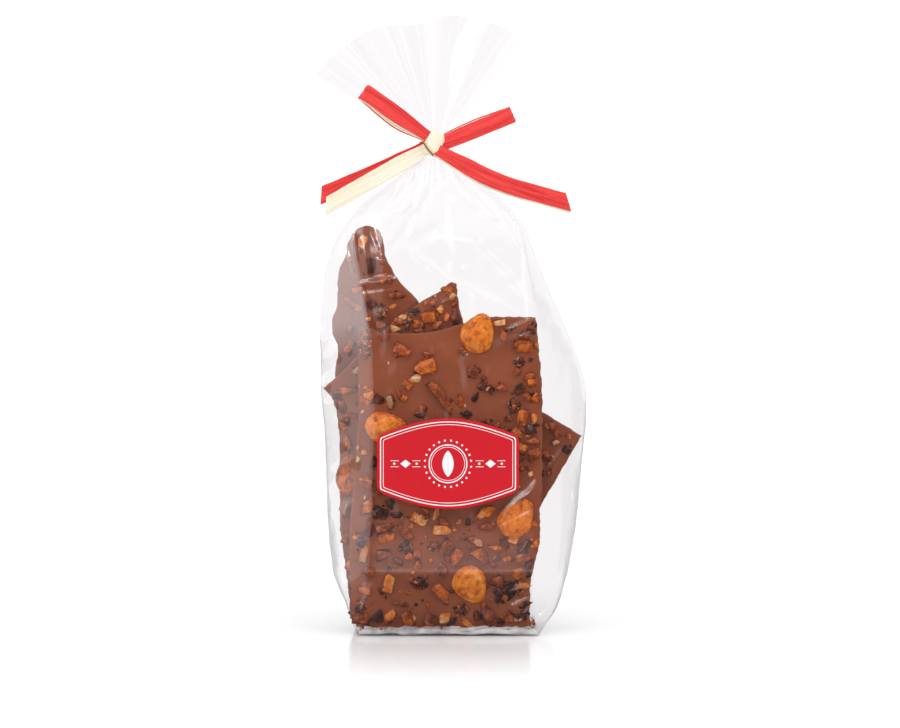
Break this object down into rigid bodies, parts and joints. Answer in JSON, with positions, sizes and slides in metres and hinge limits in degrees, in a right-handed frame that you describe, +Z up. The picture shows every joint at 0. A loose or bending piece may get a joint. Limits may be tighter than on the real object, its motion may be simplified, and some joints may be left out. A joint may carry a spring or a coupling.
{
  "type": "bag of chocolate almond bark",
  "caption": "Clear gusseted sweet bag of milk chocolate bark with caramelised almonds, closed by a two-colour paper ribbon bow, with a bare red label.",
  "frame": {"origin": "centre of the flat bottom of the bag, where it stands", "axes": "+Z up from the flat bottom to the open fan of film; -Y is the front, the side with the label and the bow; +X to the right seen from the front"},
  "size_m": [0.1366, 0.059, 0.3115],
  "materials": {
    "clear_film": "clear, glossy, finely crinkled packing film",
    "milk_chocolate": "satin milk chocolate with a broken matte edge",
    "caramelised_almond": "amber caramel coat over roasted almond",
    "label_print": "coated red sticker with plain white line border",
    "red_paper": "matte fibrous paper ribbon",
    "cream_paper": "matte fibrous paper ribbon"
  },
  "bodies": {
    "root": {"film_bag": "clear_film", "label": "label_print", "knot_cream": "cream_paper", "neck_band_red": "red_paper", "loop_left_red": "red_paper", "loop_left_cream": "cream_paper", "loop_right_red": "red_paper", "loop_right_cream": "cream_paper", "tail_left_cream": "cream_paper", "tail_left_red": "red_paper", "tail_right_red": "red_paper", "tail_right_cream": "cream_paper"}
  },
  "joints": []
}
